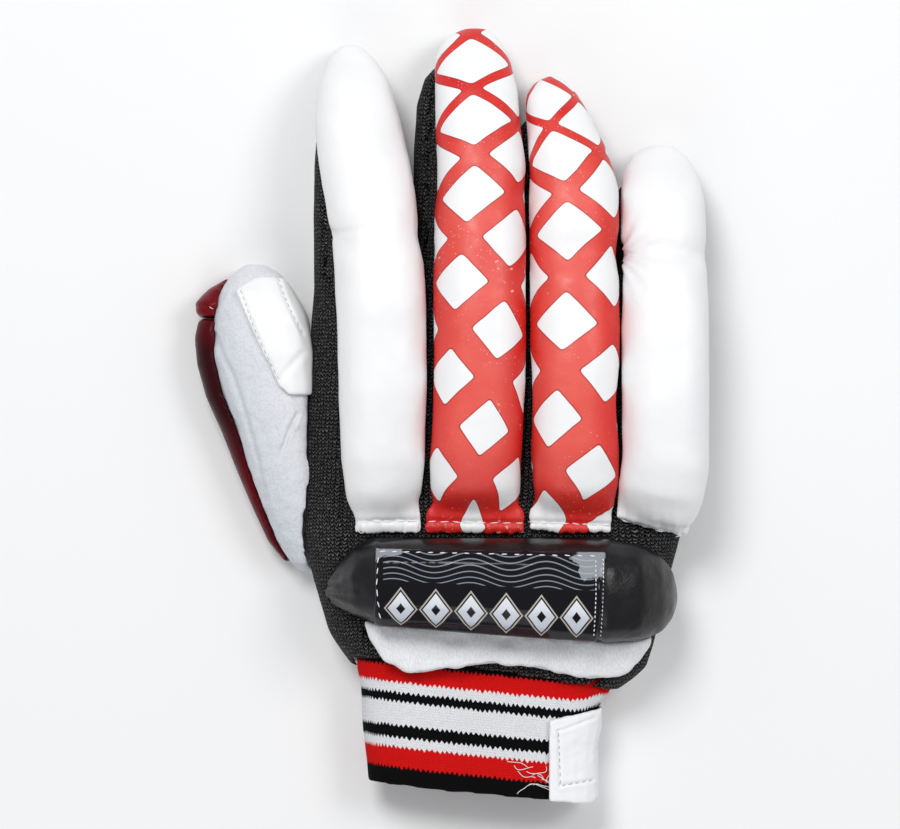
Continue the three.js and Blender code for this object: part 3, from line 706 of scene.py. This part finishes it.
# Height of a roll's crest over the floor, at shares of the roll's length from its hem
CREST = [(0.0, 42), (0.25, 49.4), (0.43, 48.6), (0.55, 46), (0.65, 43.4), (0.755, 39.6), (0.835, 35.4),
         (0.915, 29), (0.965, 22.4), (1.0, 14.6)]


def crest_height(name, y):
    """Height of a roll's crest above the floor."""
    along = (y - HEM_Y) / ROLL_LENGTHS[name]
    return np.interp(along, [row[0] for row in CREST], [row[1] for row in CREST])


def middle_line(name, y):
    rows = ROLLS[name]["middle"]
    return np.interp(y, [row[0] for row in rows], [row[1] for row in rows])


def turn_round(name, points):
    """Angle round a roll from its crest, positive towards the little finger."""
    y, radius = points[:, 1], ROLLS[name]["radius"]
    side = points[:, 0] - middle_line(name, y)
    return np.arctan2(side, points[:, 2] - (crest_height(name, y) - radius))


def lattice_map(name):
    rows = np.array(LATTICES[name][::-1])
    phases = np.arange(len(rows))[::-1]
    ys, shifts, steps, tilts, arches = rows.T
    first_pitch = ys[-1] - ys[-2]

    def columns(points):
        turn, radius = turn_round(name, points), ROLLS[name]["radius"]
        y = points[:, 1]
        y = y + np.interp(y, ys, arches) * np.minimum(1.3, np.abs(np.sin(np.clip(turn, -1.6, 1.6)))) ** 2
        down = np.interp(y, ys, phases) - np.maximum(0, y - ys[-1]) / first_pitch
        across = (turn * radius - np.interp(y, ys, shifts)) / np.interp(y, ys, steps)
        return np.stack([across, down - across * np.interp(y, ys, tilts)], axis=1)

    return columns


def round_map(name):
    return lambda points: np.stack([turn_round(name, points), points[:, 1] / 100], axis=1)


def roll_hold(points):
    """Padding swells away from its hem and its seat."""
    free_of_hem = smooth_step(HEM_Y + 7, HEM_Y + HEM_FREE, points[:, 1])
    return free_of_hem * smooth_step(22, 34, points[:, 2] + 0.1 * np.abs(points[:, 1]))


# How far each cover's body and hem spread towards the thumb and towards the little finger
BODY_SPREAD = {
    "roll_index": (0, 1.0), "roll_middle": (-0.9, 0.8), "roll_ring": (-0.8, 1.2), "roll_little": (-1.4, 0),
}
HEM_SPREAD = {
    "roll_index": (0, 2.8), "roll_middle": (-1.9, 0.4), "roll_ring": (-0.4, 1.8), "roll_little": (-2.2, 0),
}


def shape_hem(piece, name, path, seed):
    """Sews the cover down along a path: a pressed line, soft puckers above it and a crumpled edge below."""
    points = points_of(piece)
    share = np.clip((points[:, 0] - middle_line(name, points[:, 1])) / ROLLS[name]["radius"], -1, 1)
    left, right = HEM_SPREAD[name]
    low = smooth_step(-24, -39, points[:, 1])
    body_left, body_right = BODY_SPREAD[name]
    body = (1 - low) * smooth_step(108, 76, points[:, 1])
    to_right = right * low + body_right * body
    to_left = left * low + body_left * body
    points[:, 0] += share ** 2 * np.where(share > 0, to_right, to_left)
    set_points(piece, points)
    groove(piece, path, 0.9, 1.0)
    points, normals = points_of(piece), normals_of(piece)
    x, y = points[:, 0], points[:, 1]
    line = np.interp(x, [corner[0] for corner in path], [corner[1] for corner in path])
    above = y - line
    wave = np.sin(x * 0.83 + seed) + 0.7 * np.sin(x * 1.61 + seed * 2.1 + y * 0.3)
    wave = wave + 0.5 * np.sin(x * 2.9 - y * 0.5 + seed * 3)
    soft = 0.2 * np.exp(-((np.maximum(above, 0) / 6) ** 1.3)) * (above > 0)
    raw = 0.3 * smooth_step(0, -1.2, above)
    up = smooth_step(-0.2, 0.3, normals[:, 2])
    points = points + normals * ((soft + raw) * wave * up)[:, None]
    ragged = np.sin(x * 1.1 + seed * 5) * np.sin(x * 0.37 + seed)
    points[:, 1] += 0.35 * ragged * smooth_step(-1.5, -3.5, above)
    set_points(piece, points)


# Where each cover is sewn down, as [x, y] corners
HEM_LINES = {
    "roll_index": [(-36.2, -38.4), (-24, -38.2), (-11.4, -38.0)],
    "roll_middle": [(-8.6, -38.2), (9, -38.6), (27, -38.8)],
    "roll_ring": [(27.6, -38.4), (43, -39.0), (57.6, -39.6)],
    "roll_little": [(60.4, -38.0), (70, -40.6), (80, -43.0), (89.6, -45.6)],
}


def make_roll(name, seed):
    piece = skin_of(name + "_cover", name, ROLL_VOXEL, 6)
    puff(piece, ROLL_PRESSURE, ROLL_CAP, roll_hold)
    modify(piece, "SMOOTH", factor=0.5, iterations=4)
    modify(piece, "SUBSURF", levels=1, render_levels=1)
    shape_hem(piece, name, HEM_LINES[name], seed)
    crumple(piece, 22, 1.0)
    return piece


# Bend of the index roll: Y of its dent, half the dent's width, and how far it is filled up
BEND_Y = 63.6
BEND_HALF = 5
BEND_FILL = 1.9
# Folds of the outer rolls: [x, y] corners, depth, width and the depth's levels
BEND_FOLDS = (
    ([(-46.5, 67.5), (-41, 64.6), (-35, 65.2), (-27, 66.4)], 1.1, 1.3, (1, 0.7, 0.35, 0.1)),
    ([(-45.5, 62.5), (-41, 63.2), (-37, 62.4)], 0.7, 1.0, (1, 0.6, 0)),
)
PULLED_POINT = (60.5, 56.8)
PULLED_FOLD = ([(59.5, 57.0), (66, 57.4), (74, 56.6)], 1.3, 1.2, (1, 0.7, 0.1))


def make_rolls(white, printed, white_thread):
    rolls = {}
    for seed, name in enumerate(ROLLS, 1):
        rolls[name] = make_roll(name, seed)
    index, little = rolls["roll_index"], rolls["roll_little"]
    points = points_of(index)
    fill = np.exp(-(((points[:, 1] - BEND_Y) / BEND_HALF) ** 2)) * smooth_step(-41, -32, points[:, 0])
    points[:, 2] += BEND_FILL * fill * smooth_step(26, 36, points[:, 2])
    set_points(index, points)
    for fold in BEND_FOLDS:
        groove(index, *fold)
    pucker(little, PULLED_POINT, 13, 0.42)
    groove(little, *PULLED_FOLD)
    for name, roll in rolls.items():
        if name in LATTICES:
            give_map(roll, "lattice", lattice_map(name))
            give_map(roll, "round", round_map(name))
            keep(roll, printed, "printed_leather", name, fill=0.8)
        else:
            keep(roll, white, "white_leather", name, fill=0.8)
        surface = Surface(roll)
        line = HEM_LINES[name]
        stitch_row(name + "_stitches", surface, line, 3.4, 0.7, THICK_THREAD, white_thread, "white_leather")
    return rolls


def pucker(piece, centre, reach, depth):
    """A fan of short wrinkles that run out from one pulled point."""
    points, normals = points_of(piece), normals_of(piece)
    side = points[:, :2] - np.array(centre)
    away = np.linalg.norm(side, axis=1)
    turn = np.arctan2(side[:, 1], side[:, 0])
    falloff = np.exp(-((away / reach) ** 2)) * smooth_step(0.5, 4, away)
    wave = np.sin(turn * 15 + 0.6 * np.sin(turn * 4)) * depth * falloff
    set_points(piece, points + normals * (wave * (normals[:, 2] > -0.3))[:, None])


# How far the edge of the shell and of the skirt rides up over the wristband: x and lift
MOUTH_LIFT = [(-35, 3.3), (0, 3.5), (10, 3.2), (20, 2.6), (30, 2.0), (40, 1.3), (50, 0.3), (60, 0)]
SKIRT_LIFT = [(-10, 0), (5, 0.6), (20, 2.3), (30, 3.0), (40, 2.6), (50, 1.1), (60, 1.5)]


# Where the lift of the shell's lower edge starts and where it is whole
SHELL_EDGE = (-78, -92)
SKIRT_EDGE = (-80, -92)


def lift_edge(piece, table, start, end):
    """Draws the lower edge of a piece up towards the fingers."""
    points = points_of(piece)
    lift = np.interp(points[:, 0], [row[0] for row in table], [row[1] for row in table])
    points[:, 1] += lift * smooth_step(start, end, points[:, 1]) * smooth_step(10, 18, points[:, 2])
    set_points(piece, points)


def make_shell(mesh_left, mesh_right, palm_finish):
    """The palm, the back panel and the mesh sides; the back panel is drawn in and wears the mesh too."""
    palm = skin_of("palm_panel", "palm", 1.4, 5)
    crumple(palm, 30, 0.8, lambda p: smooth_step(0.5, 4, p[:, 2]))
    keep(palm, palm_finish, "palm_leather", "palm")
    back = skin_of("back_panel", "hand_back", 1.3, 5)
    lift_edge(back, MOUTH_LIFT, *SHELL_EDGE)
    swell(back, -0.3)
    keep(back, mesh_left, "black_mesh", "hand_back")
    for node, finish in (
        ("side_mesh_thumb", mesh_left),
        ("fourchette_index_middle", mesh_left),
        ("fourchette_middle_ring", mesh_left),
        ("fourchette_ring_little", mesh_left),
        ("side_mesh_little", mesh_right),
    ):
        strip = skin_of(node + "_cloth", node, 1.0, 8)
        lift_edge(strip, MOUTH_LIFT, *SHELL_EDGE)
        crumple(strip, 16, 0.45)
        keep(strip, finish, "black_mesh", node)


# Seams and folds of the thumb, as [x, y] corners
THUMB_SEAM = [
    (-84.7, 29.1), (-82.6, 22.7), (-78.7, 14.8), (-74.7, 3), (-71.5, -7.7), (-69, -18.4), (-66.5, -31),
]
THUMB_FOLD = [(-54.7, 0), (-57.7, -5.5), (-61, -15.9)]
PATCH_STITCHES = {
    "patch_inner": [(-75.5, 45.2), (-70.4, 31.3), (-65.8, 21.3), (-61.1, 12)],
    "patch_outer": [(-62.1, 49.6), (-59.5, 42.6), (-57.7, 38.2), (-55.4, 33.8), (-52.9, 28.9)],
}


PATCH_FOLD = [(-53, 22), (-61, 13)]
# Folds of the guard at the thumb's tip: [x, y] corners and depth
TIP_FOLDS = (
    ([(-92, 39), (-84, 37), (-76, 38.5)], 0.6),
    ([(-93, 35.5), (-86, 34), (-79, 33)], 0.7),
    ([(-88, 44), (-83, 36)], 0.4),
)


def make_thumb(pile, white, deep_red, bright_red, seam_thread):
    """The thumb with its patch and its padded guards; returns the guard of the tip."""
    stall = skin_of("thumb_pile", "thumb_stall", 1.2, 14)
    modify(stall, "SUBSURF", levels=1, render_levels=1)
    groove(stall, THUMB_SEAM, 0.9, 1.1)
    groove(stall, THUMB_FOLD, 2.4, 0.8, (0.4, 1, 0.7, 0.2))
    crumple(stall, 7, 1.0)
    keep(stall, pile, "white_pile", "thumb_stall")
    patch = skin_of("thumb_patch_leather", "thumb_patch", 0.6, 30)
    swell(patch, 0.25)
    crumple(patch, 14, 0.7)
    groove(patch, PATCH_FOLD, 0.6, 1.4)
    for path in PATCH_STITCHES.values():
        groove(patch, path, 0.5, 0.7)
    keep(patch, white, "white_leather", "thumb_patch")
    surface = Surface(patch, stall)
    for name, path in PATCH_STITCHES.items():
        stitch_row(name + "_stitches", surface, path, 1.7, 0.9, 0.32, seam_thread, "white_leather")
    guards = {}
    for node in ("thumb_guard_tip", "thumb_guard_base"):
        guard = skin_of(node + "_pad", node, 1.0, 9)
        puff(guard, 4, 0.8, lambda p: np.ones(len(p)))
        modify(guard, "SMOOTH", factor=0.5, iterations=3)
        modify(guard, "SUBSURF", levels=1, render_levels=1)
        swell(guard, 0.3)
        guards[node] = guard
    tip = guards["thumb_guard_tip"]
    for path, depth in TIP_FOLDS:
        groove(tip, path, depth, 1.0, (1, 0.8, 0.2))
    keep(tip, bright_red, "red_leather", "thumb_guard_tip", fill=0.7)
    keep(guards["thumb_guard_base"], deep_red, "red_leather", "thumb_guard_base", fill=0.7)
    return tip


# Shape of the wrist roll under the plate: x, Y of the roll's middle, half width and height over PLATE_FLOOR
PLATE_SEAT = [
    (-26, -61.2, 14.0, 12.4), (-0.8, -62.2, 14.4, 19.0), (32, -64.0, 15.4, 20.7), (56, -64.9, 15.7, 18.0),
]
PLATE_FLOOR = 38
PLATE_LEFT_X = -26.4
PLATE_PRESS = 0.9
PLATE_TOP_TURN = 0.93
PLATE_ARC = 16


def film_map(points):
    """Distance along the plate from its left edge, and down over the roll from its top edge."""
    x, y, z = points.T
    seat = np.array(PLATE_SEAT)
    middle, half, rise = (np.interp(x, seat[:, 0], seat[:, column]) for column in (1, 2, 3))
    turn = np.arctan2((y - middle) / half, (z - PLATE_FLOOR) / rise)
    return np.stack([x - PLATE_LEFT_X, (PLATE_TOP_TURN - turn) * PLATE_ARC], axis=1)


# Stitch rows round the glossy plate: [x, y] corners, length of a stitch and gap
PLATE_ROWS = {
    "plate_top": ([(-26.0, -48.4), (8, -49.0), (52.5, -50.0)], 2.2, 2.1),
    "plate_left": ([(-25.3, -49.6), (-25.9, -61), (-24.6, -73.2)], 2.6, 1.3),
    "plate_right": ([(54.0, -50.6), (54.0, -64), (53.4, -79)], 1.1, 0.45),
    "plate_right_inner": ([(51.4, -51.0), (51.4, -64), (50.8, -78.6)], 1.1, 0.45),
}


def make_wrist(black, film, pile, white_thread):
    roll = skin_of("wrist_roll_cover", "wrist_roll", 1.5, 6)
    puff(roll, 4, 0.7, lambda p: smooth_step(30, 40, p[:, 2]))
    modify(roll, "SMOOTH", factor=0.5, iterations=3)
    modify(roll, "SUBSURF", levels=1, render_levels=1)
    crumple(roll, 12, 0.9, lambda p: np.maximum(smooth_step(-26, -31, p[:, 0]), smooth_step(56, 61, p[:, 0])))
    pucker(roll, (-46.5, -64), 11, 0.5)
    points, normals = points_of(roll), normals_of(roll)
    x, _, z = points.T
    under = smooth_step(-27, -24, x) * smooth_step(55.5, 52.5, x) * smooth_step(33, 37, z)
    set_points(roll, points - normals * (PLATE_PRESS * under)[:, None])
    keep(roll, black, "black_leather", "wrist_roll", fill=0.8)
    plate = skin_of("wrist_film", "wrist_plate", 0.7, 4)
    swell(plate, 0.35)
    give_map(plate, "film", film_map)
    keep(plate, film, "gloss_film", "wrist_plate")
    surface = Surface(plate, roll)
    for name, (path, length, gap) in PLATE_ROWS.items():
        row = name + "_stitches"
        stitch_row(row, surface, path, length, gap, THICK_THREAD, white_thread, "gloss_film", stray=0.08)
    skirt = skin_of("back_skirt_pile", "back_skirt", 1.0, 8)
    modify(skirt, "SUBSURF", levels=1, render_levels=1)
    lift_edge(skirt, SKIRT_LIFT, *SKIRT_EDGE)
    points, normals = points_of(skirt), normals_of(skirt)
    x, y = points[:, 0], points[:, 1]
    folds = np.sin(x * 0.32 + 0.8) + 0.5 * np.sin(x * 0.71)
    low = smooth_step(-78, -92, y)
    dents = np.exp(-(((y + 80.5) / 3.2) ** 2)) * (0.6 + 0.6 * np.sin(x * 0.36 + 1))
    dents = dents * smooth_step(-12, 0, x) * smooth_step(40, 22, x)
    set_points(skirt, points + normals * ((0.6 * folds * low - 1.0 * dents) * (normals[:, 2] > 0))[:, None])
    crumple(skirt, 6, 0.5)
    keep(skirt, pile, "white_pile", "back_skirt")


# Wristband: its section's middle (x, z) and half widths, its mean radius, and the line of its top edge
BAND_MIDDLE = (9.8, 15.5)
BAND_HALF = (41, 14)
BAND_RADIUS = 32
BAND_TOP_Y = -87.4
BAND_LEFT_X = -35
BAND_SLOPE = 0.104


def knit_map(points):
    """Distance round the band from the middle of its upper side, and down from its top edge."""
    x, y, z = points.T
    around = np.arctan2((x - BAND_MIDDLE[0]) / BAND_HALF[0], (z - BAND_MIDDLE[1]) / BAND_HALF[1])
    lift = 3.2 * np.clip((x - 42) / 12, 0, 1) ** 2
    down = BAND_TOP_Y - y - BAND_SLOPE * (x - BAND_LEFT_X) + lift
    return np.stack([around * BAND_RADIUS, down], axis=1)


# Stitch rows of the strap end, as [x, y] corners
TAB_BORDER = [(38.9, -113.6), (39.3, -125), (39.6, -133.0)]
TAB_FOOT = [(39.6, -133.0), (51.5, -131.4)]
TAB_TOP = [(38.9, -113.6), (51.5, -109.2)]


def make_band(knit, strap, grey_thread):
    """The wristband and the end of its strap; returns the band."""
    band = skin_of("wristband_knit", "wristband", 1.0, 6)
    crumple(band, 18, 0.9)
    give_map(band, "knit", knit_map)
    keep(band, knit, "striped_knit", "wristband")
    tab = skin_of("strap_end", "strap_tab", 0.7, 4)
    modify(tab, "SUBSURF", levels=1, render_levels=1)
    for path in (TAB_BORDER, TAB_FOOT, TAB_TOP):
        groove(tab, path, 0.6, 0.7)
    crumple(tab, 6, 0.7)
    keep(tab, strap, "white_strap", "strap_tab")
    surface = Surface(tab)
    for name, path in (("strap_side", TAB_BORDER), ("strap_foot", TAB_FOOT)):
        stitch_row(name + "_stitches", surface, path, 1.7, 0.8, 0.36, grey_thread, "white_strap")
    return band


# Stray ends: middle and reach of where they start, heading in degrees, length and how many there are
HEM_STRAYS = ((-34.4, -41.6), 1.4, 215, 4.6, 9)
BAND_STRAYS = ((31, -129), 4.0, 100, 8.0, 12)
TIP_STRAYS = ((-84.6, 36.4), 0.8, 60, 3.4, 3)
STRAY_PLACES = 6
OFF_EDGE_LEVEL = 20  # height of an end that starts beside its piece


def tie_strays(index_roll, band, guard_tip, finish):
    """Loose white ends of thread and lint where the photograph shows them."""
    for name, piece, (spot, reach, heading, length, count), slot in (
        ("hem_strays", index_roll, HEM_STRAYS, "white_leather"),
        ("band_lint", band, BAND_STRAYS, "striped_knit"),
        ("tip_strays", guard_tip, TIP_STRAYS, "white_leather"),
    ):
        surface, pieces = Surface(piece), []
        for index in range(count):
            turn = math.radians(heading + random.uniform(-60, 60))
            x, y = spot[0] + random.uniform(-reach, reach), spot[1] + random.uniform(-reach, reach)
            places = []
            for step in range(STRAY_PLACES):
                place, _ = surface.drop(x, y)
                if place is not None:
                    level = place.z + 0.15
                else:
                    level = places[-1][2] if places else OFF_EDGE_LEVEL
                places.append((x, y, level + 0.6 * math.sin(step * 0.6)))
                turn += random.uniform(-1.2, 1.2)
                x += math.cos(turn) * length / (STRAY_PLACES - 1)
                y += math.sin(turn) * length / (STRAY_PLACES - 1)
            pieces.append(loose_thread(name, places, STRAY_THREAD))
        keep(join_copies(name, pieces), finish, slot)


make_camera()
make_studio()
white = white_leather()
black = black_leather()
white_thread = thread("white sewing thread", (0.86, 0.86, 0.86))
rolls = make_rolls(white, printed_leather(), white_thread)
make_shell(black_mesh("black mesh left", 1), black_mesh("black mesh right", -1), palm_leather())
deep_red = red_leather("maroon guard leather", (0.032, 0.002, 0.004), (0.105, 0.0015, 0.005))
bright_red = red_leather("red guard leather", (0.09, 0.002, 0.005), (0.2, 0.004, 0.009))
grey_thread = thread("grey sewing thread", (0.45, 0.46, 0.48))
guard_tip = make_thumb(terry_pile(), white, deep_red, bright_red, grey_thread)
make_wrist(black, gloss_film(), brushed_fleece(), white_thread)
band = make_band(striped_knit(), strap_cloth(), grey_thread)
tie_strays(rolls["roll_index"], band, guard_tip, white_thread)

FLOOR_SIZE = 6  # metres
bpy.ops.object.select_all(action="DESELECT")
bpy.ops.mesh.primitive_plane_add(size=FLOOR_SIZE)
floor = bpy.context.object
floor.name = "floor"
floor.data.materials.append(floor_finish())
